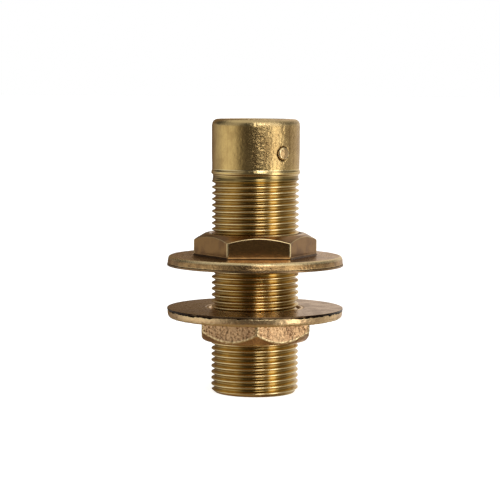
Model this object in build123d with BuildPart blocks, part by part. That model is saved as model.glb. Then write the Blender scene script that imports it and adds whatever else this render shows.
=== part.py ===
"""Thru hull fitting: a threaded bronze tube that passes through a boat's hull, with two flanged
nuts that clamp the hull between their slip washers.

Millimetres, +Z up. The origin is on the tube's axis, in the plane of its lower end.
"""
from build123d import *
import os
from math import ceil, cos, radians, sin, tan

# ---------------------------------------------------------------- driving dimensions

# Pipe thread, 3/4 inch nominal size, 14 turns to the inch, right hand.
PITCH = 25.4 / 14
THREAD_RADIUS = 13.2
THREAD_DEPTH = 1.0
FLANK_ANGLE = 27.5
CREST_FLAT = 0.374

# The tube's groove lies in the plane of the tube's lower end in this direction, counted from +X.
GROOVE_DIRECTION = -113.0

# Tube.
TUBE_LENGTH = 82.9
BORE_RADIUS = 9.5
BORE_CHAMFER = 0.6
END_CHAMFER_WIDTH = 1.1
END_CHAMFER_HEIGHT = 0.9
THREAD_END_Z = 64.8
NECK_START_Z = 65.7
NECK_DEPTH = 0.6
NECK_SLOPE = 0.25
RIDGE_RADIUS = 13.44
RIDGE_START_Z = 66.6
RIDGE_END_Z = 67.1
COLLAR_NECK_Z = 67.6
COLLAR_TAPER_Z = 69.0
COLLAR_FULL_Z = 73.0
COLLAR_RADIUS = 13.32
COLLAR_ROUNDING = 2.0

# Locating pin, pressed into the collar. Its direction is counted from -Y towards +X.
PIN_RADIUS = 1.9
PIN_HEIGHT_Z = 72.8
PIN_DIRECTION = 38.0
PIN_HOLE_DEPTH = 2.6
PIN_STAND_OUT = 0.6
PIN_EDGE_CHAMFER = 0.25
PIN_HOLE_CLEARANCE = 0.02

# Flanged nuts and slip washers. Heights are counted from the washer's clamping face.
NUT_HEIGHT = 9.8
WASHER_THICKNESS = 0.6
WASHER_RADIUS = 26.75
WASHER_EDGE_CHAMFER = 0.1
FLANGE_RADIUS = 26.6
FLANGE_THICKNESS = 2.35
FLANGE_ROUNDING = 1.1
FLANGE_DRAFT = 0.2
FLANGE_FACE_CHAMFER = 0.35
HEX_ACROSS_FLATS = 32.4
HEX_CHAMFER_ANGLE = 30.0
HEX_END_RADIUS = 15.2
HEX_ROOT_FILLET = 0.6
SPIGOT_RADIUS = 14.4
SPIGOT_RECESS = 0.05
SPIGOT_LIP = 0.35
SPIGOT_CLEARANCE = 0.1
MOUTH_CHAMFER = 0.9
MOUTH_OVERRUN = 0.5
SLEEVE_RADIUS = 14.0

# Fit of the nuts' threads on the tube's.
CREST_CLEARANCE = 0.15
ROOT_CLEARANCE = 0.18
FLANK_CLEARANCE = 0.1

UPPER_CLAMP_Z = 38.6
UPPER_HEX_DIRECTION = 3.6
UPPER_CORNER_ROUNDING = 0.15

LOWER_CLAMP_Z = 25.8
LOWER_HEX_DIRECTION = 31.65
LOWER_CORNER_ROUNDING = 1.2

# ---------------------------------------------------------------- values that follow

FLANK_SLOPE = tan(radians(FLANK_ANGLE))
THREAD_ROOT_RADIUS = THREAD_RADIUS - THREAD_DEPTH
NUT_CREST_RADIUS = THREAD_ROOT_RADIUS + ROOT_CLEARANCE
NUT_ROOT_RADIUS = THREAD_RADIUS + CREST_CLEARANCE
FLANGE_TOP = WASHER_THICKNESS + FLANGE_THICKNESS
SLEEVE_LENGTH = NUT_HEIGHT - SPIGOT_RECESS
UPPER_SLEEVE_Z = UPPER_CLAMP_Z + SPIGOT_RECESS
LOWER_SLEEVE_Z = LOWER_CLAMP_Z - NUT_HEIGHT
CUTTER_OVERRUN = 0.2
TOUCH = 0.01

os.makedirs("parts", exist_ok=True)


# ---------------------------------------------------------------- shared shapes

def cut_helix(inner_radius, outer_radius, inner_half_width, outer_half_width, start_z, end_z, phase_z):
    """Cut one right-hand helical groove out of the part being built.

    The groove crosses the +X direction at phase_z and at every pitch above and below it."""
    first_z = phase_z - ceil((phase_z - start_z) / PITCH) * PITCH
    path_radius = (inner_radius + outer_radius) / 2
    with BuildLine():
        path = Helix(pitch=PITCH, height=end_z - first_z, radius=path_radius, center=(0, 0, first_z))
    section_plane = Plane(origin=path @ 0, x_dir=(1, 0, 0), z_dir=path % 0)
    inner_x = inner_radius - path_radius
    outer_x = outer_radius - path_radius
    with BuildSketch(section_plane) as groove_section:
        with BuildLine():
            Polyline(
                (inner_x, -inner_half_width),
                (outer_x, -outer_half_width),
                (outer_x, outer_half_width),
                (inner_x, inner_half_width),
                close=True,
            )
        make_face()
    sweep(sections=groove_section.sketch, path=path, is_frenet=True, mode=Mode.SUBTRACT)


def cut_tube_thread(end_z):
    """Cut the tube's thread from its lower end up to end_z."""
    mouth_radius = THREAD_RADIUS + CUTTER_OVERRUN
    root_half_width = (PITCH - CREST_FLAT) / 2 - THREAD_DEPTH * FLANK_SLOPE
    mouth_half_width = root_half_width + (THREAD_DEPTH + CUTTER_OVERRUN) * FLANK_SLOPE
    cut_helix(THREAD_ROOT_RADIUS, mouth_radius, root_half_width, mouth_half_width, -PITCH, end_z, 0)


def make_thread_sleeve():
    """The ring inside a nut that carries its thread, where it lies in the upper nut.

    The nut's groove holds the tube's ridge, half a pitch above the tube's groove."""
    end_z = UPPER_SLEEVE_Z + SLEEVE_LENGTH
    mouth_radius = NUT_CREST_RADIUS - CUTTER_OVERRUN
    root_half_width = CREST_FLAT / 2 - CREST_CLEARANCE * FLANK_SLOPE + FLANK_CLEARANCE
    mouth_half_width = root_half_width + (NUT_ROOT_RADIUS - mouth_radius) * FLANK_SLOPE
    with BuildPart() as sleeve:
        with BuildSketch(Plane.XZ):
            with BuildLine():
                Polyline(
                    (NUT_CREST_RADIUS, UPPER_SLEEVE_Z),
                    (SLEEVE_RADIUS, UPPER_SLEEVE_Z),
                    (SLEEVE_RADIUS, end_z),
                    (NUT_CREST_RADIUS, end_z),
                    close=True,
                )
            make_face()
        revolve(axis=Axis.Z)
        cut_helix(
            mouth_radius, NUT_ROOT_RADIUS, mouth_half_width, root_half_width,
            UPPER_SLEEVE_Z - PITCH, end_z + PITCH, PITCH / 2,
        )

        # The countersunk mouths, with the cutter running out past each end.
        for mouth_z, outward in ((UPPER_SLEEVE_Z, -1), (end_z, 1)):
            with BuildSketch(Plane.XZ):
                with BuildLine():
                    Polyline(
                        (0, mouth_z + outward * MOUTH_OVERRUN),
                        (NUT_CREST_RADIUS + MOUTH_CHAMFER + MOUTH_OVERRUN, mouth_z + outward * MOUTH_OVERRUN),
                        (NUT_CREST_RADIUS, mouth_z - outward * MOUTH_CHAMFER),
                        (0, mouth_z - outward * MOUTH_CHAMFER),
                        close=True,
                    )
                make_face()
            revolve(axis=Axis.Z, mode=Mode.SUBTRACT)
    return sleeve.part


def clamp_plane(clamp_z, up, hex_direction):
    """The plane of a washer's clamping face: its normal points to the nut's hex."""
    x_dir = (cos(radians(hex_direction)), sin(radians(hex_direction)), 0)
    return Plane(origin=(0, 0, clamp_z), x_dir=x_dir, z_dir=(0, 0, up))


def section_of(plane):
    """The half plane through the axis: its x is the radius, its y the height from the clamping face."""
    return Plane(origin=plane.origin, x_dir=plane.x_dir, z_dir=-plane.y_dir)


def make_flange_nut(plane, corner_rounding, thread_sleeve, drop):
    """A flanged nut with a spigot that carries its slip washer, standing on the clamping plane.

    Its thread is the shared sleeve, screwed down the tube by the given drop."""
    axis = Axis(plane.origin, plane.z_dir)
    corner_radius = HEX_ACROSS_FLATS / 2 / cos(radians(30))
    chamfer_height = (corner_radius - HEX_END_RADIUS) * tan(radians(HEX_CHAMFER_ANGLE))
    root_z = plane.offset(FLANGE_TOP).origin.Z
    root_reach = (corner_radius + FLANGE_RADIUS) / 2
    with BuildPart() as nut:
        with BuildSketch(plane.offset(WASHER_THICKNESS)) as hex_section:
            RegularPolygon(radius=corner_radius, side_count=6)
            fillet(hex_section.vertices(), corner_rounding)
        extrude(amount=NUT_HEIGHT - WASHER_THICKNESS)

        # The cone that chamfers the hex's free end.
        with BuildSketch(section_of(plane)):
            with BuildLine():
                Polyline(
                    (0, 0),
                    (corner_radius, 0),
                    (corner_radius, NUT_HEIGHT - chamfer_height),
                    (HEX_END_RADIUS, NUT_HEIGHT),
                    (0, NUT_HEIGHT),
                    close=True,
                )
            make_face()
        revolve(axis=axis, mode=Mode.INTERSECT)

        # The flange and the spigot, whose lip holds the washer.
        with BuildSketch(section_of(plane)) as flange_section:
            with BuildLine():
                Polyline(
                    (0, SPIGOT_RECESS),
                    (SPIGOT_RADIUS + SPIGOT_LIP, SPIGOT_RECESS),
                    (SPIGOT_RADIUS, SPIGOT_RECESS + SPIGOT_LIP),
                    (SPIGOT_RADIUS, WASHER_THICKNESS),
                    (FLANGE_RADIUS - FLANGE_FACE_CHAMFER, WASHER_THICKNESS),
                    (FLANGE_RADIUS, WASHER_THICKNESS + FLANGE_FACE_CHAMFER),
                    (FLANGE_RADIUS - FLANGE_DRAFT, FLANGE_TOP),
                    (0, FLANGE_TOP),
                    close=True,
                )
            make_face()
            outer_corner = flange_section.vertices().group_by(Axis.Y)[-1].sort_by(Axis.X)[-1]
            fillet(outer_corner, FLANGE_ROUNDING)
        revolve(axis=axis)

        # The hex runs into the flange with a small fillet.
        at_root = nut.edges().filter_by_position(Axis.Z, root_z - TOUCH, root_z + TOUCH)
        root_edges = at_root.filter_by(lambda edge: (edge.center() - plane.origin).length < root_reach)
        fillet(root_edges, HEX_ROOT_FILLET)

        # The bore, filled again by the ring with the thread in it.
        with BuildSketch(plane):
            Circle(SLEEVE_RADIUS)
        extrude(amount=NUT_HEIGHT, mode=Mode.SUBTRACT)
        add(thread_sleeve.moved(Location((0, 0, -drop), (0, 0, GROOVE_DIRECTION - 360 * drop / PITCH))))
    return nut


def make_washer(plane):
    """A thin slip washer: its bore is dished at the clamping face to take the nut's lip."""
    bore_radius = SPIGOT_RADIUS + SPIGOT_CLEARANCE
    dish_depth = SPIGOT_RECESS + SPIGOT_LIP
    with BuildPart() as washer:
        with BuildSketch(section_of(plane)):
            with BuildLine():
                Polyline(
                    (bore_radius + dish_depth, 0),
                    (WASHER_RADIUS - WASHER_EDGE_CHAMFER, 0),
                    (WASHER_RADIUS, WASHER_EDGE_CHAMFER),
                    (WASHER_RADIUS, WASHER_THICKNESS),
                    (bore_radius, WASHER_THICKNESS),
                    (bore_radius, dish_depth),
                    close=True,
                )
            make_face()
        revolve(axis=Axis(plane.origin, plane.z_dir))
    return washer


# ---------------------------------------------------------------- tube

with BuildPart() as threaded_wall:
    with BuildSketch(Plane.XZ) as wall_section:
        with BuildLine():
            Polyline(
                (BORE_RADIUS + BORE_CHAMFER, 0),
                (THREAD_RADIUS - END_CHAMFER_WIDTH, 0),
                (THREAD_RADIUS, END_CHAMFER_HEIGHT),
                (THREAD_RADIUS, NECK_START_Z),
                (THREAD_RADIUS - NECK_DEPTH, NECK_START_Z + NECK_SLOPE),
                (THREAD_RADIUS - NECK_DEPTH, RIDGE_START_Z - NECK_SLOPE),
                (RIDGE_RADIUS, RIDGE_START_Z),
                (RIDGE_RADIUS, RIDGE_END_Z),
                (THREAD_RADIUS, COLLAR_NECK_Z),
                (THREAD_RADIUS, COLLAR_TAPER_Z),
                (COLLAR_RADIUS, COLLAR_FULL_Z),
                (COLLAR_RADIUS, TUBE_LENGTH),
                (BORE_RADIUS + BORE_CHAMFER, TUBE_LENGTH),
                (BORE_RADIUS, TUBE_LENGTH - BORE_CHAMFER),
                (BORE_RADIUS, BORE_CHAMFER),
                close=True,
            )
        make_face()
        rim_corner = wall_section.vertices().group_by(Axis.Y)[-1].sort_by(Axis.X)[-1]
        fillet(rim_corner, COLLAR_ROUNDING)
    revolve(axis=Axis.Z)
    cut_tube_thread(THREAD_END_Z)

with BuildPart() as threaded_tube:
    add(threaded_wall.part, rotation=(0, 0, GROOVE_DIRECTION))

    # The blind hole for the locating pin.
    pin_axis = (sin(radians(PIN_DIRECTION)), -cos(radians(PIN_DIRECTION)), 0)
    pin_seat_radius = COLLAR_RADIUS - PIN_HOLE_DEPTH
    pin_seat = Plane(
        origin=(pin_seat_radius * pin_axis[0], pin_seat_radius * pin_axis[1], PIN_HEIGHT_Z),
        x_dir=(0, 0, 1),
        z_dir=pin_axis,
    )
    with BuildSketch(pin_seat):
        Circle(PIN_RADIUS + PIN_HOLE_CLEARANCE)
    extrude(amount=PIN_HOLE_DEPTH + PIN_STAND_OUT, mode=Mode.SUBTRACT)
threaded_tube.part.label = "threaded_tube"
export_step(threaded_tube.part, "parts/threaded_tube.step")

# ---------------------------------------------------------------- locating pin

with BuildPart() as locating_pin:
    with BuildSketch(pin_seat):
        Circle(PIN_RADIUS)
    extrude(amount=PIN_HOLE_DEPTH + PIN_STAND_OUT)
    outer_end = locating_pin.faces().sort_by(Axis(pin_seat.origin, pin_seat.z_dir))[-1]
    chamfer(outer_end.edges(), PIN_EDGE_CHAMFER)
locating_pin.part.label = "locating_pin"
export_step(locating_pin.part, "parts/locating_pin.step")

# ---------------------------------------------------------------- nuts and washers

thread_sleeve = make_thread_sleeve()
upper_plane = clamp_plane(UPPER_CLAMP_Z, 1, UPPER_HEX_DIRECTION)
lower_plane = clamp_plane(LOWER_CLAMP_Z, -1, LOWER_HEX_DIRECTION)

upper_flange_nut = make_flange_nut(upper_plane, UPPER_CORNER_ROUNDING, thread_sleeve, 0)
upper_flange_nut.part.label = "upper_flange_nut"
export_step(upper_flange_nut.part, "parts/upper_flange_nut.step")

upper_washer = make_washer(upper_plane)
upper_washer.part.label = "upper_washer"
export_step(upper_washer.part, "parts/upper_washer.step")

lower_drop = UPPER_SLEEVE_Z - LOWER_SLEEVE_Z
lower_flange_nut = make_flange_nut(lower_plane, LOWER_CORNER_ROUNDING, thread_sleeve, lower_drop)
lower_flange_nut.part.label = "lower_flange_nut"
export_step(lower_flange_nut.part, "parts/lower_flange_nut.step")

lower_washer = make_washer(lower_plane)
lower_washer.part.label = "lower_washer"
export_step(lower_washer.part, "parts/lower_washer.step")
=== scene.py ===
"""Thru hull fitting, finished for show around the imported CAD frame.

Lengths in this file are millimetres until a mesh or a camera is made, which is in metres.
Every piece is a grid of rings around its own axis, so that the threads are true helices and the
as-cast skin is real relief in the mesh.
"""

from math import cos, pi, radians, sin, tan

import bmesh
import bpy
import numpy as np
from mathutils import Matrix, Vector, noise


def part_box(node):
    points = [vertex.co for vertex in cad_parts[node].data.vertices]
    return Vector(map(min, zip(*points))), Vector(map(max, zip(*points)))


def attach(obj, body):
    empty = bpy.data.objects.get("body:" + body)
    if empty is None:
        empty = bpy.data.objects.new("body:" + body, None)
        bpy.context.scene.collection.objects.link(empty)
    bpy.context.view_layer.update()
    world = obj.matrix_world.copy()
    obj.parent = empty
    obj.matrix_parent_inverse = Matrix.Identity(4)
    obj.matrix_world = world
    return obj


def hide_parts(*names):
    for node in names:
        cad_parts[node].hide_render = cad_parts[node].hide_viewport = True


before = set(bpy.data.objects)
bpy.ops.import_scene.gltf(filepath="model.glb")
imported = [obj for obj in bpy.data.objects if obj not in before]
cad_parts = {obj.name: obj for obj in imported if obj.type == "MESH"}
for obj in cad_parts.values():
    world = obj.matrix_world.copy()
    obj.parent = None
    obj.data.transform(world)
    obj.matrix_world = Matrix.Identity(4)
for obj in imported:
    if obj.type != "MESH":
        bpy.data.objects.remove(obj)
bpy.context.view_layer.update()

MM = 0.001

# Points closer than this are one point.
MERGE_DISTANCE = 0.0001

# Each point's mark is 1 where the metal is worn bright and carries a painted highlight, and this where it
# carries full painted shade.
FULL_SHADE = -1.0

# ---------------------------------------------------------------- dimensions, in millimetres

# Thread: 14 turns to the inch, right hand.
PITCH = 25.4 / 14
THREAD_RADIUS = 13.2
THREAD_DEPTH = 1.0
FLANK_SLOPE = tan(radians(27.5))
CREST_HALF_WIDTH = 0.187
CREST_EDGE = 0.05
CREST_CUT = 0.02
ROOT_EDGE = 0.07
CREST_CLEARANCE = 0.15
ROOT_CLEARANCE = 0.18
FLANK_CLEARANCE = 0.1

# Where the tube's groove lies in the plane of its lower end, in degrees from +X, and the height
# at which its ridge therefore crosses +X.
GROOVE_DIRECTION = -113.0
RIDGE_Z = PITCH * (0.5 - GROOVE_DIRECTION / 360)

# Tube.
TUBE_COLUMNS = 160
BORE_RADIUS = 9.5
BORE_CHAMFER = 0.6
END_RADIUS = 12.1
END_CHAMFER_HEIGHT = 0.9
FADE_START_Z = 63.4
FADE_END_Z = 65.3
RELIEF_RADIUS = 12.95
RELIEF_START_Z = 64.7
RELIEF_FLOOR_Z = 65.2
# Painted shade, as a share of full shade, in the thread's roots and in the sunk relief under the collar.
ROOT_SHADE = 0.3
RELIEF_SHADE = 0.5
COLLAR_START_Z = 65.9
RELIEF_END_Z = 66.1
RIDGE_START_Z = 66.5
RIDGE_END_Z = 67.1
RIDGE_RADIUS = 13.42
COLLAR_NECK_Z = 67.7
COLLAR_TAPER_Z = 69.2
COLLAR_TAPER_RADIUS = 13.22
COLLAR_FULL_Z = 73.0
COLLAR_RADIUS = 13.3
COLLAR_ROUNDING = 2.1
COLLAR_END_WEAR_AND_HIGHLIGHT = 0.4
COLLAR_END_ROWS = 20
SMOOTH_SIDE_SKIN = 0.35

# Locating pin, in the collar. Its direction is counted from -Y towards +X.
PIN_RADIUS = 1.86
PIN_HOLE_RADIUS = 2.12
PIN_HEIGHT_Z = 72.8
PIN_DIRECTION = radians(38.0)
PIN_STAND_OUT = 0.5
PIN_DOME = 0.16
PIN_LENGTH = 2.4
PIN_COLUMNS = 48
PIN_RING_DEPTH = 0.55
# How far past the pin's sunk ring the painted shade reaches.
PIN_RING_SHADE_WIDTH = 0.05

# Nuts and washers. Heights are counted from the washer's clamping face.
NUT_COLUMNS = 432
WASHER_THICKNESS = 0.6
FLANGE_TOP = 3.1
FLANGE_FALL = 0.1
FLANGE_RADIUS = 26.6
FLANGE_DRAFT = 0.25
HEX_APOTHEM = 16.2
HEX_ROOT_ROUNDING = 0.6
FLANGE_ROUNDING = 1.0
# Painted shade in the crease at the hex's foot, as a share of full shade.
FOOT_SHADE = 0.5
SPIGOT_RADIUS = 14.4
SPIGOT_RECESS = 0.05
SPIGOT_LIP = 0.35
MOUTH_RADIUS = 13.5
WASHER_BORE_RADIUS = 14.5
UPPER_HEX_DIRECTION = radians(3.6)
LOWER_HEX_DIRECTION = radians(31.65)

# The radius at which each hex's chamfer starts, and its slope.
UPPER_CHAMFER = (15.2, 0.58)
LOWER_CHAMFER = (15.65, 1.1)

TUBE_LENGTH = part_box("threaded_tube")[1].z / MM
UPPER_CLAMP_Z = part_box("upper_washer")[0].z / MM
LOWER_CLAMP_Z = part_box("lower_washer")[1].z / MM
UPPER_NUT_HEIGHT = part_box("upper_flange_nut")[1].z / MM - UPPER_CLAMP_Z
LOWER_NUT_HEIGHT = LOWER_CLAMP_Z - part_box("lower_flange_nut")[0].z / MM
WASHER_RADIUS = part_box("upper_washer")[1].x / MM


# ---------------------------------------------------------------- grids of rings

def smooth(value, low, high):
    """0 below low, 1 above high, and an even curve between."""
    share = np.clip((value - low) / (high - low), 0, 1)
    return share * share * (3 - 2 * share)


def unit(vectors):
    """The vectors, each made 1 long."""
    return vectors / np.linalg.norm(vectors, axis=-1, keepdims=True)


def rounded_path(corners, roundings, runs, arc_steps=4):
    """Rows along a path of (radius, height) corners, one path for each column.

    corners is (corner, column, 2). roundings is how far from each corner its curve starts.
    runs is, for each straight run, its number of steps and how much of a cast skin it has.
    Returns the rows, and for each row its cast skin and whether it lies on a rounded edge."""
    rows, cast, edge = [corners[0]], [runs[0][1]], [0.0]
    last_end = corners[0]
    for index in range(1, len(corners)):
        corner = corners[index]
        start = end = corner
        if roundings[index] > 0:
            start = corner + unit(corners[index - 1] - corner) * roundings[index]
            end = corner + unit(corners[index + 1] - corner) * roundings[index]
        steps, skin = runs[index - 1]
        for step in range(1, steps + 1):
            share = step / steps
            rows.append(last_end * (1 - share) + start * share)
            cast.append(skin)
            edge.append(0.0)
        if roundings[index] > 0:
            for step in range(1, arc_steps + 1):
                share = step / arc_steps
                rows.append(
                    start * (1 - share) ** 2 + corner * 2 * share * (1 - share) + end * share**2
                )
                cast.append(skin)
                edge.append(float(step < arc_steps))
        last_end = end
    return np.array(rows), np.array(cast), np.array(edge)


def thread_rows(low_z, high_z, ridge_z, angles, edges):
    """Heights of rows that follow a right-hand helix, cut off level at low_z and high_z.

    edges is where the rows of one turn lie, counted from the ridge, which crosses +X at ridge_z."""
    first = int(np.floor((low_z - PITCH - ridge_z) / PITCH)) - 1
    last = int(np.ceil((high_z - ridge_z) / PITCH)) + 1
    starts = np.array([ridge_z + turn * PITCH + edge for turn in range(first, last + 1) for edge in edges])
    heights = starts[:, None] + PITCH * angles[None, :] / (2 * pi)
    return np.clip(heights, low_z, high_z)


def off_ridge(heights, ridge_z, angles):
    """How far each point lies from the middle of the nearest ridge of the helix, along the axis."""
    turns = (heights - ridge_z) / PITCH - angles[None, :] / (2 * pi)
    return np.abs(turns - np.round(turns)) * PITCH


class Grid:
    """A mesh in the making: points, faces, and each point's cast skin and its mark of wear with painted
    highlight and of painted shade.
    """

    def __init__(self):
        self.points, self.faces, self.cast, self.edge = [], [], [], []
        self.count = 0

    def add_rows(self, radii, heights, angles, cast, edge):
        """Adds points in rows, and returns their numbers in the same rows."""
        shape = np.broadcast(radii, heights, angles[None, :]).shape
        radii = np.broadcast_to(radii, shape)
        heights = np.broadcast_to(heights, shape)
        around = np.broadcast_to(angles[None, :], shape)
        xyz = np.stack([radii * np.cos(around), radii * np.sin(around), heights], axis=-1)
        self.points.append(xyz.reshape(-1, 3))
        self.cast.append(np.broadcast_to(cast, shape).ravel())
        self.edge.append(np.broadcast_to(edge, shape).ravel())
        numbers = np.arange(self.count, self.count + shape[0] * shape[1]).reshape(shape)
        self.count += shape[0] * shape[1]
        return numbers

    def join_rows(self, numbers, turn_rows=0):
        """Faces between neighbouring rows. On a helix, the last column meets the first turn_rows up."""
        wrapped = np.roll(numbers, -1, axis=1)
        if turn_rows:
            shifted = np.minimum(np.arange(len(numbers)) + turn_rows, len(numbers) - 1)
            wrapped[:, -1] = numbers[shifted, 0]
        quads = np.stack([numbers[:-1], wrapped[:-1], wrapped[1:], numbers[1:]], axis=-1)
        self.faces.append(quads.reshape(-1, 4))

    def join_finer(self, ring, fine_ring):
        """Faces from a ring to one with twice its columns."""
        following = np.roll(ring, -1)
        middle, after = fine_ring[1::2], np.roll(fine_ring[::2], -1)
        before = fine_ring[::2]
        for three in ((ring, following, middle), (ring, middle, before), (following, after, middle)):
            self.faces.append(np.stack(three, axis=-1))

    def make(self, name, shape_skin=None):
        """The Blender object, its double points merged and its skin shaped."""
        mesh = bpy.data.meshes.new(name)
        points = np.concatenate(self.points)
        faces = [tuple(face) for block in self.faces for face in block.tolist()]
        mesh.from_pydata((points * MM).tolist(), [], faces)
        for layer, values in (("cast_skin", self.cast), ("wear_highlight_shade", self.edge)):
            attribute = mesh.attributes.new(layer, "FLOAT", "POINT")
            attribute.data.foreach_set("value", np.concatenate(values).astype(np.float32))
        work = bmesh.new()
        work.from_mesh(mesh)
        bmesh.ops.remove_doubles(work, verts=work.verts, dist=MERGE_DISTANCE * MM)
        bmesh.ops.recalc_face_normals(work, faces=work.faces)
        for face in work.faces:
            face.smooth = True
        work.to_mesh(mesh)
        work.free()
        if shape_skin:
            shape_mesh(mesh, shape_skin)
        made = bpy.data.objects.new(name, mesh)
        bpy.context.scene.collection.objects.link(made)
        even = made.modifiers.new("even_normals", "WEIGHTED_NORMAL")
        even.keep_sharp = True
        return made


def shape_mesh(mesh, shape_skin):
    """Moves each point along its normal by shape_skin(point in millimetres, cast skin)."""
    count = len(mesh.vertices)
    points, normals = np.empty(count * 3, np.float32), np.empty(count * 3, np.float32)
    cast = np.empty(count, np.float32)
    mesh.vertices.foreach_get("co", points)
    mesh.vertex_normals.foreach_get("vector", normals)
    mesh.attributes["cast_skin"].data.foreach_get("value", cast)
    points, normals = points.reshape(-1, 3), normals.reshape(-1, 3)
    moves = np.array([shape_skin(Vector(point) / MM, skin) for point, skin in zip(points, cast)])
    mesh.vertices.foreach_set("co", (points + normals * moves[:, None] * MM).ravel())
    mesh.update()


# The cast skin's swells and grain in millimetres, its small pits as a share of the large ones, a
# pit's radius as a share of its cell, and a factor that tells neighbouring cells apart.
SWELL_SIZE = 2.6
GRAIN_SIZE = 0.75
SMALL_PIT_SIZE = 0.55
SMALL_PIT_DEPTH = 0.6
PIT_EDGE = 0.42
PIT_SCATTER = 7.3


def pits(point, size, share, seed):
    """0 to 1: how deep a point lies in a round pit. share of the cells of that size hold one."""
    distances, centres = noise.voronoi(point / size + Vector((seed, seed, seed)))
    if noise.cell(centres[0] * PIT_SCATTER) > share:
        return 0.0
    return max(0.0, 1 - (distances[0] / PIT_EDGE) ** 2)


def cast_relief(swell, grain, pit_depth, pit_size, pit_share):
    """A skin for shape_mesh: slow swells, grain, and scattered pits, all in millimetres."""
    def relief(point, skin):
        if skin <= 0:
            return 0.0
        move = swell * noise.noise(point / SWELL_SIZE)
        move += grain * noise.noise(point / GRAIN_SIZE + Vector((5, 9, 2)))
        move -= pit_depth * pits(point, pit_size, pit_share, 3)
        move -= SMALL_PIT_DEPTH * pit_depth * pits(point, pit_size * SMALL_PIT_SIZE, pit_share, 11)
        return skin * move
    return relief


def ride_and_stand_for(piece, body, node, material):
    """Puts a finished piece on its body, in place of the CAD node that it shows."""
    piece.data.materials.append(material)
    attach(piece, body)
    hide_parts(node)


# ---------------------------------------------------------------- materials

class Nodes:
    """Short names for the nodes that the finishes are made of."""

    def __init__(self, tree):
        self.tree = tree
        tree.nodes.clear()

    def new(self, kind, **inputs):
        node = self.tree.nodes.new("ShaderNode" + kind)
        for name, value in inputs.items():
            self.put(node.inputs[name.replace("_", " ")], value)
        return node

    def put(self, socket, value):
        if isinstance(value, bpy.types.NodeSocket):
            self.tree.links.new(value, socket)
        else:
            socket.default_value = value

    def math(self, operation, first, second=0.0):
        node = self.new("Math")
        node.operation = operation
        self.put(node.inputs[0], first)
        self.put(node.inputs[1], second)
        return node.outputs[0]

    def ramp(self, value, low, high, to_low=0.0, to_high=1.0):
        """Maps low..high to to_low..to_high on a smooth curve."""
        node = self.new("MapRange")
        node.interpolation_type = "SMOOTHSTEP"
        for socket, number in zip(node.inputs, (value, low, high, to_low, to_high)):
            self.put(socket, number)
        return node.outputs[0]

    def mix(self, share, first, second):
        node = self.new("Mix")
        node.data_type = "RGBA"
        self.put(node.inputs[0], share)
        self.put(node.inputs[6], first)
        self.put(node.inputs[7], second)
        return node.outputs[2]

    def blend(self, share, first, second):
        """Between two plain numbers, where mix is between two colours."""
        node = self.new("Mix", Factor=share)
        self.put(node.inputs[2], first)
        self.put(node.inputs[3], second)
        return node.outputs[0]

    def noise(self, place, size_mm, detail=2.0, rough=0.5):
        node = self.new("TexNoise", Vector=place, Scale=1 / (size_mm * MM), Detail=detail, Roughness=rough)
        return node.outputs[0]

    def attribute(self, name):
        node = self.new("Attribute")
        node.attribute_name = name
        return node.outputs["Fac"]

    def stretched(self, place, scales):
        node = self.new("Mapping", Vector=place, Scale=scales)
        return node.outputs[0]


def colour(red, green, blue):
    """A colour given as it looks, 0 to 255, turned to the linear values that shaders use."""
    def linear(level):
        level /= 255
        return level / 12.92 if level <= 0.04045 else ((level + 0.055) / 1.055) ** 2.4
    return (linear(red), linear(green), linear(blue), 1.0)


# Painted shade: the dark brown that recesses, creases and gaps are painted with, where shade falls.
SHADE_COLOUR = colour(38, 23, 16)
# Worn bare metal, brightened further as a painted highlight on rounded edges, hex corners and thread
# crests.
WORN_HIGHLIGHT = colour(250, 226, 172)

# Sizes in the finishes, in millimetres: of the patches and speckles of tarnish, of the cast grain,
# of the streaks' width, of a lathe line, and the heights of the two bumps.
PATCH = 5.0
SPECKLE = 0.7
GRAIN = 0.42
STREAK = 0.8
LATHE_LINE = 0.12
LATHE_BUMP = 0.004
GRAIN_BUMP = 0.09

# The streaks' noise changes this much as fast along the axis as across it.
STREAK_RATE = 0.06


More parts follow.
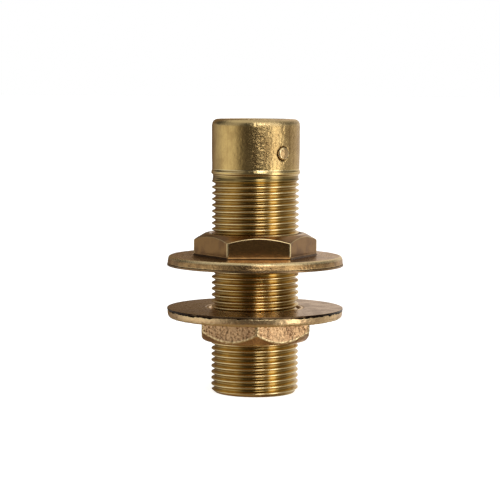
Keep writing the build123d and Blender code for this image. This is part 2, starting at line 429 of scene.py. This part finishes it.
def bronze(
    name, machined, cast, tarnish, machined_roughness, cast_roughness, tarnish_share, rings,
    streaks=0.0, spotted=0.5,
):
    """Bronze with a machined and a cast finish, told apart by the mesh's cast_skin.

    rings is how strongly the machined faces show the lathe tool's circles. streaks is how strongly
    the cast skin is streaked along the axis, and spotted how dark its tarnished spots are."""
    material = bpy.data.materials.new(name)
    material.use_nodes = True
    nodes = Nodes(material.node_tree)
    place = nodes.new("TexCoord").outputs["Object"]
    skin = nodes.attribute("cast_skin")
    wear_highlight_shade_mark = nodes.attribute("wear_highlight_shade")
    # Below zero the mark paints shade into the colour; above zero it paints worn metal with a painted
    # highlight.
    shade_share = nodes.math("MAXIMUM", nodes.math("MULTIPLY", wear_highlight_shade_mark, -1.0), 0.0)
    worn_and_lit = nodes.math("MAXIMUM", wear_highlight_shade_mark, 0.0)

    patches = nodes.noise(place, PATCH, 3.0, 0.6)
    speckle = nodes.noise(place, SPECKLE, 3.0, 0.65)
    metal = nodes.mix(skin, machined, cast)
    stain = nodes.math("MULTIPLY", nodes.ramp(patches, 0.42, 0.68), tarnish_share)
    metal = nodes.mix(stain, metal, tarnish)
    spots = nodes.math("MULTIPLY", nodes.ramp(speckle, 0.56, 0.72), nodes.math("MULTIPLY", skin, spotted))
    metal = nodes.mix(spots, metal, tarnish)
    drawn = nodes.noise(nodes.stretched(place, (1, 1, STREAK_RATE)), STREAK, 2.0, 0.6)
    drawn = nodes.math("MULTIPLY", nodes.ramp(drawn, 0.5, 0.68), nodes.math("MULTIPLY", skin, streaks))
    metal = nodes.mix(drawn, metal, tarnish)
    metal = nodes.mix(nodes.math("MULTIPLY", worn_and_lit, 0.8), metal, WORN_HIGHLIGHT)
    metal = nodes.mix(shade_share, metal, SHADE_COLOUR)

    fine = nodes.noise(place, GRAIN, 2.0, 0.6)
    satin = nodes.ramp(patches, 0.3, 0.7, machined_roughness * 0.85, machined_roughness * 1.2)
    sandy = nodes.ramp(fine, 0.3, 0.7, cast_roughness * 0.8, cast_roughness * 1.25)
    rough = nodes.blend(skin, satin, sandy)

    across = nodes.new("SeparateXYZ", Vector=place)
    flat = nodes.new("CombineXYZ", X=across.outputs[0], Y=across.outputs[1])
    length = nodes.new("VectorMath", Vector=flat.outputs[0])
    length.operation = "LENGTH"
    axial = nodes.math("ADD", length.outputs["Value"], across.outputs[2])
    lines = nodes.new("TexNoise", Scale=1 / (LATHE_LINE * MM), Detail=2.0)
    lines.noise_dimensions = "1D"
    nodes.put(lines.inputs["W"], axial)
    turned = nodes.math("MULTIPLY", lines.outputs[0], nodes.math("SUBTRACT", 1.0, skin))
    grained = nodes.math("MULTIPLY", fine, skin)
    lathe_bump = nodes.new("Bump", Height=turned, Distance=LATHE_BUMP * MM, Strength=rings)
    cast_bump = nodes.new(
        "Bump", Height=grained, Distance=GRAIN_BUMP * MM, Strength=0.9, Normal=lathe_bump.outputs[0]
    )

    shader = nodes.new(
        "BsdfPrincipled", Base_Color=metal, Metallic=1.0, Roughness=rough, Normal=cast_bump.outputs[0]
    )
    output = nodes.new("OutputMaterial")
    nodes.put(output.inputs["Surface"], shader.outputs[0])
    return material


machined_bronze = bronze(
    "machined_bronze", colour(214, 182, 112), colour(206, 174, 116), colour(128, 90, 48),
    machined_roughness=0.16, cast_roughness=0.27, tarnish_share=0.3, rings=0.5, streaks=0.4,
)
nut_bronze = bronze(
    "nut_bronze", colour(138, 100, 54), colour(194, 156, 104), colour(92, 60, 38),
    machined_roughness=0.19, cast_roughness=0.3, tarnish_share=0.5, rings=0.4,
)
cast_bronze = bronze(
    "cast_bronze", colour(246, 214, 160), colour(214, 174, 128), colour(112, 66, 42),
    machined_roughness=0.26, cast_roughness=0.34, tarnish_share=0.45, rings=0.4, spotted=0.85,
)
washer_bronze = bronze(
    "washer_bronze", colour(176, 144, 104), colour(184, 150, 104), colour(104, 70, 44),
    machined_roughness=0.26, cast_roughness=0.34, tarnish_share=0.4, rings=1.0,
)
pin_bronze = bronze(
    "pin_bronze", colour(226, 190, 134), colour(222, 184, 130), colour(120, 84, 52),
    machined_roughness=0.2, cast_roughness=0.26, tarnish_share=0.3, rings=0.4,
)


# ---------------------------------------------------------------- tube

def ridge_edges(half_width, flank):
    """Rows across one ridge: its root, its flanks and its crest, with small bevels at the corners."""
    crest = (half_width - CREST_EDGE, half_width + CREST_EDGE)
    foot = half_width + flank
    side = (*crest, half_width + flank / 2, foot - ROOT_EDGE, foot + ROOT_EDGE)
    return [-edge for edge in reversed(side)] + [0.0] + list(side)


def make_tube():
    grid = Grid()
    angles = np.arange(TUBE_COLUMNS) * 2 * pi / TUBE_COLUMNS
    edges = ridge_edges(CREST_HALF_WIDTH, THREAD_DEPTH * FLANK_SLOPE)
    heights = thread_rows(0, COLLAR_START_Z, RIDGE_Z, angles, edges)
    away = off_ridge(heights, RIDGE_Z, angles)
    depth = np.clip((away - CREST_HALF_WIDTH) / FLANK_SLOPE, 0, THREAD_DEPTH)
    crest_cut = smooth(away, CREST_HALF_WIDTH - 2 * CREST_EDGE, CREST_HALF_WIDTH + CREST_EDGE) * CREST_CUT
    radii = THREAD_RADIUS - (depth + crest_cut) * (1 - smooth(heights, FADE_START_Z, FADE_END_Z))
    bottom = END_RADIUS + heights * (THREAD_RADIUS - END_RADIUS) / END_CHAMFER_HEIGHT
    relief_depth = THREAD_RADIUS - RELIEF_RADIUS
    relief = THREAD_RADIUS - relief_depth * smooth(heights, RELIEF_START_Z, RELIEF_FLOOR_Z)
    radii = np.minimum(np.minimum(radii, bottom), relief)
    # Thread crests are marked as worn metal with a painted highlight; the roots and the relief under the
    # collar carry painted shade.
    worn_and_lit = (away < CREST_HALF_WIDTH + CREST_EDGE) & (heights < FADE_START_Z)
    shaded_share = smooth(depth, 0.55 * THREAD_DEPTH, THREAD_DEPTH) * ROOT_SHADE
    shaded_share = np.maximum(shaded_share, smooth(heights, FADE_START_Z, RELIEF_FLOOR_Z) * RELIEF_SHADE)
    thread = grid.add_rows(radii, heights, angles, 0.0, np.where(worn_and_lit, 1.0, FULL_SHADE * shaded_share))
    grid.join_rows(thread, turn_rows=len(edges))

    # The collar, with twice the columns for its cast skin.
    fine_angles = np.arange(2 * TUBE_COLUMNS) * pi / TUBE_COLUMNS
    corners = np.array([
        (RELIEF_RADIUS, COLLAR_START_Z),
        (RELIEF_RADIUS, RELIEF_END_Z),
        (RIDGE_RADIUS, RIDGE_START_Z),
        (RIDGE_RADIUS, RIDGE_END_Z),
        (THREAD_RADIUS, COLLAR_NECK_Z),
        (COLLAR_TAPER_RADIUS, COLLAR_TAPER_Z),
        (COLLAR_RADIUS, COLLAR_FULL_Z),
        (COLLAR_RADIUS, TUBE_LENGTH),
        (BORE_RADIUS + BORE_CHAMFER, TUBE_LENGTH),
    ])
    runs = [(1, 0.1), (2, 0.15), (2, 0.3), (2, 0.4), (6, 0.8), (12, 1), (24, 1), (5, 0.5)]
    roundings = [0, 0.1, 0.12, 0.12, 0.2, 0, 0, COLLAR_ROUNDING, 0]
    rows, cast, edge = rounded_path(corners[:, None, :], roundings, runs, 6)
    # The rounding at the collar's end gets a weaker mark of worn metal with a painted highlight.
    edge[-COLLAR_END_ROWS:] *= COLLAR_END_WEAR_AND_HIGHLIGHT  # only the end's rounding lies in these rows
    facing_pin = np.sin(fine_angles) * pin_axis.y + np.cos(fine_angles) * pin_axis.x
    cast = cast[:, None] * (SMOOTH_SIDE_SKIN + (1 - SMOOTH_SIDE_SKIN) * smooth(facing_pin, 0.5, 0.85))
    collar = grid.add_rows(rows[:, :, 0], rows[:, :, 1], fine_angles, cast, edge[:, None])
    grid.join_finer(thread[-1], collar[0])
    grid.join_rows(collar)

    # Down the bore and back to the lower end.
    corners = np.array([
        (BORE_RADIUS + BORE_CHAMFER, TUBE_LENGTH),
        (BORE_RADIUS, TUBE_LENGTH - BORE_CHAMFER),
        (BORE_RADIUS, BORE_CHAMFER),
        (BORE_RADIUS + BORE_CHAMFER, 0),
        (END_RADIUS, 0),
    ])
    runs = [(1, 0), (24, 0), (1, 0), (3, 0)]
    rows, cast, edge = rounded_path(corners[:, None, :], [0, 0.1, 0.1, 0, 0], runs, 2)
    bore = grid.add_rows(rows[:, :, 0], rows[:, :, 1], angles, cast[:, None], edge[:, None])
    grid.join_finer(bore[0], collar[-1])
    grid.join_rows(bore)
    return grid.make("threaded_tube_finished", tube_skin)


pin_axis = Vector((sin(PIN_DIRECTION), -cos(PIN_DIRECTION), 0))
collar_relief = cast_relief(0.028, 0.014, 0.1, 0.9, 0.4)


def off_pin(point):
    """How far a point on the pin's side of the tube lies from the pin's own axis."""
    from_pin = Vector((point.x, point.y, point.z - PIN_HEIGHT_Z))
    along = from_pin.dot(pin_axis)
    return (from_pin - pin_axis * along).length if along > 0 else COLLAR_RADIUS


def tube_skin(point, skin):
    """The collar's cast skin, and the sunk ring that the locating pin stands in."""
    return -PIN_RING_DEPTH if off_pin(point) < PIN_HOLE_RADIUS else collar_relief(point, skin)


tube = make_tube()
tube_wear_and_shade = tube.data.attributes["wear_highlight_shade"].data
# Painted shade in and just around the sunk ring about the pin.
for vertex in tube.data.vertices:
    if off_pin(vertex.co / MM) < PIN_HOLE_RADIUS + PIN_RING_SHADE_WIDTH:
        tube_wear_and_shade[vertex.index].value = FULL_SHADE
ride_and_stand_for(tube, "tube", "threaded_tube", machined_bronze)


# ---------------------------------------------------------------- locating pin

def make_pin():
    """A short round pin with a domed head, standing in the collar."""
    grid = Grid()
    angles = np.arange(PIN_COLUMNS) * 2 * pi / PIN_COLUMNS
    head = COLLAR_RADIUS + PIN_STAND_OUT
    corners = np.array([
        (0, head),
        (PIN_RADIUS, head - PIN_DOME),
        (PIN_RADIUS, head - PIN_LENGTH),
        (0, head - PIN_LENGTH),
    ])
    runs = [(6, 0.6), (6, 0.3), (2, 0)]
    rows, cast, edge = rounded_path(corners[:, None, :], [0, 0.5, 0, 0], runs, 6)
    numbers = grid.add_rows(rows[:, :, 0], rows[:, :, 1], angles, cast[:, None], edge[:, None])
    grid.join_rows(numbers)
    turn = Vector((0, 0, 1)).rotation_difference(pin_axis).to_matrix()
    points = np.concatenate(grid.points) @ np.array(turn).T
    grid.points = [points + np.array([0, 0, PIN_HEIGHT_Z])]
    return grid.make("locating_pin_finished", cast_relief(0.02, 0.01, 0.05, 0.9, 0.3))


pin = make_pin()
ride_and_stand_for(pin, "tube", "locating_pin", pin_bronze)


# ---------------------------------------------------------------- nuts

def hex_radius(angles, direction, rounding):
    """Distance from the axis to a hex's side, for each angle. A corner lies at direction."""
    off_corner = np.abs((angles - direction + radians(30)) % radians(60) - radians(30))
    flat = HEX_APOTHEM / np.cos(radians(30) - off_corner)
    centre = (HEX_APOTHEM - rounding) / cos(radians(30))
    inside = np.maximum(rounding**2 - (centre * np.sin(off_corner)) ** 2, 0)
    arc = centre * np.cos(off_corner) + np.sqrt(inside)
    on_arc = off_corner < np.arctan2(rounding * 0.5, centre + rounding * cos(radians(30)))
    return np.where(on_arc, arc, flat)


def corner_columns(direction, crowding):
    """Column angles, six times the same, closer together near the hex's corners."""
    share = np.arange(NUT_COLUMNS) * 6 / NUT_COLUMNS
    share = share - crowding * np.sin(2 * pi * share) / (2 * pi)
    return direction + share * pi / 3


def make_nut(
    name, clamp_z, up, height, direction, crowding, corner_rounding, edge_rounding, chamfer, gap,
    gap_shade, skins, shape_skin
):
    """A flanged nut, with its clamping face at clamp_z and its hex above it or, for up = -1, below.

    gap is how far the flange's clamping edge is broken, for each column, and gap_shade how much painted
    shade is put into that gap. skins is how much cast skin the hex, the flange's top and its rim have."""
    grid = Grid()
    angles = corner_columns(direction, crowding)
    side = hex_radius(angles, direction, corner_rounding)
    end_radius, chamfer_slope = chamfer
    shoulder = height - (side - end_radius) * chamfer_slope
    edge_gap = gap(angles)

    def at(radius, level):
        return np.stack(np.broadcast_arrays(radius, level, angles)[:2], axis=-1)

    corners = np.array([
        at(MOUTH_RADIUS, height),
        at(end_radius, height),
        at(side, shoulder),
        at(side, FLANGE_TOP),
        at(FLANGE_RADIUS - FLANGE_DRAFT, FLANGE_TOP - FLANGE_FALL),
        at(FLANGE_RADIUS, WASHER_THICKNESS + edge_gap),
        at(FLANGE_RADIUS - edge_gap, WASHER_THICKNESS),
        at(SPIGOT_RADIUS, WASHER_THICKNESS),
        at(SPIGOT_RADIUS, SPIGOT_RECESS + SPIGOT_LIP),
        at(SPIGOT_RADIUS + SPIGOT_LIP, SPIGOT_RECESS),
        at(MOUTH_RADIUS, SPIGOT_RECESS),
    ])
    roundings = [0, 0.15, edge_rounding, HEX_ROOT_ROUNDING, FLANGE_ROUNDING, 0.1, 0.05, 0, 0, 0, 0]
    hex_skin, top_skin, rim_skin = skins
    runs = [
        (2, 0.2), (4, hex_skin), (24, hex_skin), (20, top_skin), (4, rim_skin), (2, rim_skin),
        (6, 0), (1, 0), (1, 0), (2, 0),
    ]
    rows, cast, edge = rounded_path(corners, roundings, runs)
    radii, levels = rows[:, :, 0], rows[:, :, 1]
    above_root = levels > FLANGE_TOP + HEX_ROOT_ROUNDING
    on_hex = (radii < side + 0.01) & above_root & (levels < shoulder + 0.01)
    # Rounded edges and hex corners are marked as worn metal with a painted highlight.
    corner_wear_and_highlight = smooth(side, side.max() - 0.25, side.max() - 0.05) * 0.8
    edge = np.maximum(edge[:, None], on_hex * corner_wear_and_highlight)
    # Painted shade in the crease where the hex meets the flange.
    at_foot = (radii < side + 0.65) & (np.abs(levels - FLANGE_TOP) < HEX_ROOT_ROUNDING)
    edge = np.where(at_foot, FULL_SHADE * FOOT_SHADE, edge)
    # Painted shadow in the gap between the flange's broken edge and the washer.
    in_gap = (radii > FLANGE_RADIUS - 2) & (levels < WASHER_THICKNESS + edge_gap - 0.05)
    edge = np.where(in_gap, FULL_SHADE * gap_shade * smooth(edge_gap, 0.08, 0.25), edge)
    outside = grid.add_rows(radii, clamp_z + up * levels, angles, cast[:, None], edge)
    grid.join_rows(outside)

    # The threaded bore, countersunk at both ends.
    ends = sorted((clamp_z + up * SPIGOT_RECESS, clamp_z + up * height))
    groove_half_width = CREST_HALF_WIDTH - CREST_CLEARANCE * FLANK_SLOPE + FLANK_CLEARANCE
    root_radius = THREAD_RADIUS + CREST_CLEARANCE
    crest_radius = THREAD_RADIUS - THREAD_DEPTH + ROOT_CLEARANCE
    edges = ridge_edges(groove_half_width, (root_radius - crest_radius) * FLANK_SLOPE)
    heights = thread_rows(*ends, RIDGE_Z, angles, edges)
    away = off_ridge(heights, RIDGE_Z, angles)
    radii = np.clip(root_radius - (away - groove_half_width) / FLANK_SLOPE, crest_radius, root_radius)
    radii = np.maximum(radii, MOUTH_RADIUS - np.minimum(heights - ends[0], ends[1] - heights))
    thread = grid.add_rows(radii, heights, angles, 0.0, 0.0)
    grid.join_rows(thread, turn_rows=len(edges))
    return grid.make(name, shape_skin)


def even_gap(angles):
    """The upper flange's machined edge: the same small bevel all round."""
    return np.full_like(angles, 0.2)


def from_front(angles):
    """The angle from the front (-Y), either way round."""
    return np.abs((angles + pi / 2 + pi) % (2 * pi) - pi)


def ragged_gap(angles):
    """The lower flange's cast edge: chipped and uneven, nearly closed at the front."""
    chips = np.array([noise.noise(Vector((cos(a) * 9, sin(a) * 9, 1))) for a in angles])
    fine = np.array([noise.noise(Vector((cos(a) * 34, sin(a) * 34, 5))) for a in angles])
    open_side = 0.1 + 0.16 * smooth(from_front(angles), 0.3, 0.6)
    return np.clip(open_side + 0.25 * chips + 0.25 * fine, 0.12, 0.8)


upper_nut = make_nut(
    "upper_flange_nut_finished", UPPER_CLAMP_Z, 1, UPPER_NUT_HEIGHT, UPPER_HEX_DIRECTION,
    crowding=0.55, corner_rounding=0.22, edge_rounding=0.14, chamfer=UPPER_CHAMFER, gap=even_gap,
    gap_shade=0.3, skins=(0.15, 0.8, 1.0), shape_skin=cast_relief(0.05, 0.025, 0.09, 1.0, 0.4),
)
ride_and_stand_for(upper_nut, "upper_nut_body", "upper_flange_nut", nut_bronze)

lower_nut = make_nut(
    "lower_flange_nut_finished", LOWER_CLAMP_Z, -1, LOWER_NUT_HEIGHT, LOWER_HEX_DIRECTION,
    crowding=0.25, corner_rounding=1.2, edge_rounding=0.55, chamfer=LOWER_CHAMFER, gap=ragged_gap,
    gap_shade=1.0, skins=(1.0, 0.8, 0.4), shape_skin=cast_relief(0.06, 0.06, 0.24, 0.8, 0.85),
)
ride_and_stand_for(lower_nut, "lower_nut_body", "lower_flange_nut", cast_bronze)


# ---------------------------------------------------------------- washers

def make_washer(name, clamp_z, up, ragged, side_shade, front_shade):
    """A thin slip washer, faced on the lathe. ragged is how uneven its outer edge is.

    The outer edge carries painted shade as strong as side_shade, and as front_shade at the front."""
    grid = Grid()
    angles = np.arange(NUT_COLUMNS) * 2 * pi / NUT_COLUMNS
    uneven = np.array([noise.noise(Vector((cos(a) * 14, sin(a) * 14, clamp_z))) for a in angles])
    outer = WASHER_RADIUS - ragged * (0.5 + 0.5 * uneven)
    dish = SPIGOT_RECESS + SPIGOT_LIP

    def at(radius, level):
        return np.stack(np.broadcast_arrays(radius, level, angles)[:2], axis=-1)

    corners = np.array([
        at(WASHER_BORE_RADIUS, WASHER_THICKNESS),
        at(WASHER_BORE_RADIUS, dish),
        at(WASHER_BORE_RADIUS + dish, 0),
        at(outer, 0),
        at(outer, WASHER_THICKNESS),
        at(WASHER_BORE_RADIUS, WASHER_THICKNESS),
    ])
    runs = [(1, 0), (1, 0), (24, 0), (2, 0.3), (8, 0)]
    rows, cast, edge = rounded_path(corners, [0, 0, 0.05, 0.12, 0.1, 0], runs, 3)
    radii, levels = rows[:, :, 0], rows[:, :, 1]
    # Painted shade on the washer's outer side, where it meets the flange's broken edge.
    shade_share = side_shade + (front_shade - side_shade) * (1 - smooth(from_front(angles), 0.25, 0.6))
    on_outside = (radii > outer - 0.1) & (levels > 0.02)
    edge = np.where(on_outside, FULL_SHADE * shade_share * (0.75 + 0.25 * smooth(uneven, -0.7, -0.2)), edge[:, None])
    numbers = grid.add_rows(radii, clamp_z + up * levels, angles, cast[:, None], edge)
    grid.join_rows(numbers)
    return grid.make(name)


upper_washer = make_washer(
    "upper_washer_finished", UPPER_CLAMP_Z, 1, ragged=0.04, side_shade=0.3, front_shade=0.3
)
ride_and_stand_for(upper_washer, "upper_washer_body", "upper_washer", washer_bronze)
lower_washer = make_washer(
    "lower_washer_finished", LOWER_CLAMP_Z, -1, ragged=0.12, side_shade=1.0, front_shade=0.6
)
ride_and_stand_for(lower_washer, "lower_washer_body", "lower_washer", washer_bronze)


# ---------------------------------------------------------------- floor, light and camera

FLOOR_REACH = 30.0  # metres
FLOOR_GLOW = 0.78


def make_floor():
    mesh = bpy.data.meshes.new("studio_floor")
    corners = [(FLOOR_REACH * x, FLOOR_REACH * y, 0) for x, y in ((-1, -1), (1, -1), (1, 1), (-1, 1))]
    mesh.from_pydata(corners, [], [(0, 1, 2, 3)])
    floor = bpy.data.objects.new("studio_floor", mesh)
    bpy.context.scene.collection.objects.link(floor)
    material = bpy.data.materials.new("pale_floor")
    material.use_nodes = True
    shader = material.node_tree.nodes["Principled BSDF"]
    shader.inputs["Base Color"].default_value = (0.92, 0.92, 0.92, 1)
    shader.inputs["Roughness"].default_value = 0.9
    shader.inputs["Specular IOR Level"].default_value = 0.1
    shader.inputs["Emission Color"].default_value = (1, 1, 1, 1)
    shader.inputs["Emission Strength"].default_value = FLOOR_GLOW
    mesh.materials.append(material)
    floor.visible_glossy = False


make_floor()

# The studio: soft light from all sides, in two rings. Each stop is a direction, in degrees from
# the front (-Y) towards the right (+X), how bright the room is there, and how warm.
LOW_RING = (
    (-180, 0.15, 1.0), (-150, 0.22, 0.8), (-128, 0.45, 0.2), (-114, 0.60, 0.0), (-88, 0.90, 0.0),
    (-62, 0.82, 0.0), (-47, 0.44, 0.1), (-35, 0.13, 0.2), (-8, 0.08, 0.2), (13, 0.09, 0.1),
    (23, 0.20, 0.0), (32, 0.29, 0.0), (40, 0.46, 0.0), (46, 2.7, 0.0), (59, 2.7, 0.0),
    (67, 0.90, 0.0), (80, 0.38, 0.1), (100, 0.46, 0.1), (125, 0.80, 0.1), (150, 0.80, 0.2),
    (180, 0.84, 0.4),
)
HIGH_RING = (
    (-180, 0.22, 1.0), (-150, 0.18, 0.8), (-130, 0.10, 0.2), (-115, 0.05, 0.0), (-100, 0.24, 0.0),
    (-80, 0.40, 0.0), (-50, 0.40, 0.0), (-37, 0.22, 0.0), (-26, 0.03, 0.0), (-7, 0.03, 0.0),
    (1, 0.50, 0.0), (7, 3.6, 0.0), (21, 3.8, 0.0), (27, 0.80, 0.0), (40, 0.35, 0.0), (46, 0.90, 0.0),
    (60, 1.9, 0.0), (67, 0.75, 0.0), (76, 0.16, 0.0), (100, 0.20, 0.0), (125, 0.24, 0.0),
    (150, 0.65, 0.2), (180, 0.90, 0.4),
)

# The green and blue left in light of full warmth, and the brightness that a ramp's 1 stands for.
WARM_GREEN = 0.67
WARM_BLUE = 0.36
RING_SCALE = 4.0

# Degrees above the horizon between which one light gives way to the next, and the light overhead
# and underneath.
LOW_RING_TOP = 4.0
HIGH_RING_BOTTOM = 12.0
CEILING_START = 30.0
CEILING_END = 60.0
CEILING_LEVEL = 0.62
GROUND_START = -22.0
GROUND_END = -50.0
GROUND = (0.28, 0.20, 0.12)


def light_ring(nodes, around, stops):
    """The light of one ring of the studio over RING_SCALE, for a direction from 0 to 1 around it."""
    ramp = nodes.new("ValToRGB", Fac=around)
    elements = ramp.color_ramp.elements
    for index, (direction, brightness, warmth) in enumerate(stops):
        place = (direction + 180) / 360
        element = elements[index] if index < 2 else elements.new(place)
        element.position = place
        level = brightness / RING_SCALE
        green = level * (1 - warmth * (1 - WARM_GREEN))
        blue = level * (1 - warmth * (1 - WARM_BLUE))
        element.color = (level, green, blue, 1.0)
    return ramp.outputs[0]


def make_studio():
    world = bpy.data.worlds.new("studio")
    bpy.context.scene.world = world
    world.use_nodes = True
    nodes = Nodes(world.node_tree)
    direction = nodes.new("SeparateXYZ", Vector=nodes.new("TexCoord").outputs["Generated"])
    x, y, z = direction.outputs
    turn = nodes.math("DIVIDE", nodes.math("ARCTAN2", x, nodes.math("MULTIPLY", y, -1.0)), 2 * pi)
    around = nodes.math("ADD", turn, 0.5)
    above = nodes.math("MULTIPLY", nodes.math("ARCSINE", z), 180 / pi)
    low = light_ring(nodes, around, LOW_RING)
    high = light_ring(nodes, around, HIGH_RING)
    light = nodes.mix(nodes.ramp(above, LOW_RING_TOP, HIGH_RING_BOTTOM), low, high)
    ceiling = CEILING_LEVEL / RING_SCALE
    light = nodes.mix(nodes.ramp(above, CEILING_START, CEILING_END), light, (ceiling, ceiling, ceiling, 1))
    ground = (*(level / RING_SCALE for level in GROUND), 1.0)
    light = nodes.mix(nodes.ramp(above, GROUND_END, GROUND_START), ground, light)
    studio = nodes.new("Background", Color=light, Strength=RING_SCALE)
    seen = nodes.new("Background", Color=(1, 1, 1, 1), Strength=1.0)
    choose = nodes.new("MixShader", Fac=nodes.new("LightPath").outputs["Is Camera Ray"])
    nodes.put(choose.inputs[1], studio.outputs[0])
    nodes.put(choose.inputs[2], seen.outputs[0])
    output = nodes.new("OutputWorld")
    nodes.put(output.inputs["Surface"], choose.outputs[0])


make_studio()

# The camera looks from the front, a little from above. FRAME_WIDTH is what it takes in at AIM.
CAMERA_HEIGHT = 91.0
CAMERA_DISTANCE = 560.0
CAMERA_ROLL = 0.3
AIM = (-1.6, 0.0, 43.17)
FRAME_WIDTH = 151.7

camera_data = bpy.data.cameras.new("camera")
camera = bpy.data.objects.new("camera", camera_data)
bpy.context.scene.collection.objects.link(camera)
aim = Vector(AIM)
camera.location = Vector((aim.x, -CAMERA_DISTANCE, CAMERA_HEIGHT)) * MM
sight = aim * MM - camera.location
camera.rotation_euler = sight.to_track_quat("-Z", "Y").to_euler()
camera.rotation_euler.rotate_axis("Z", radians(CAMERA_ROLL))
camera_data.lens = camera_data.sensor_width * sight.length / (FRAME_WIDTH * MM)
camera_data.clip_start = 0.01
bpy.context.scene.camera = camera
bpy.context.scene.view_settings.view_transform = "Standard"
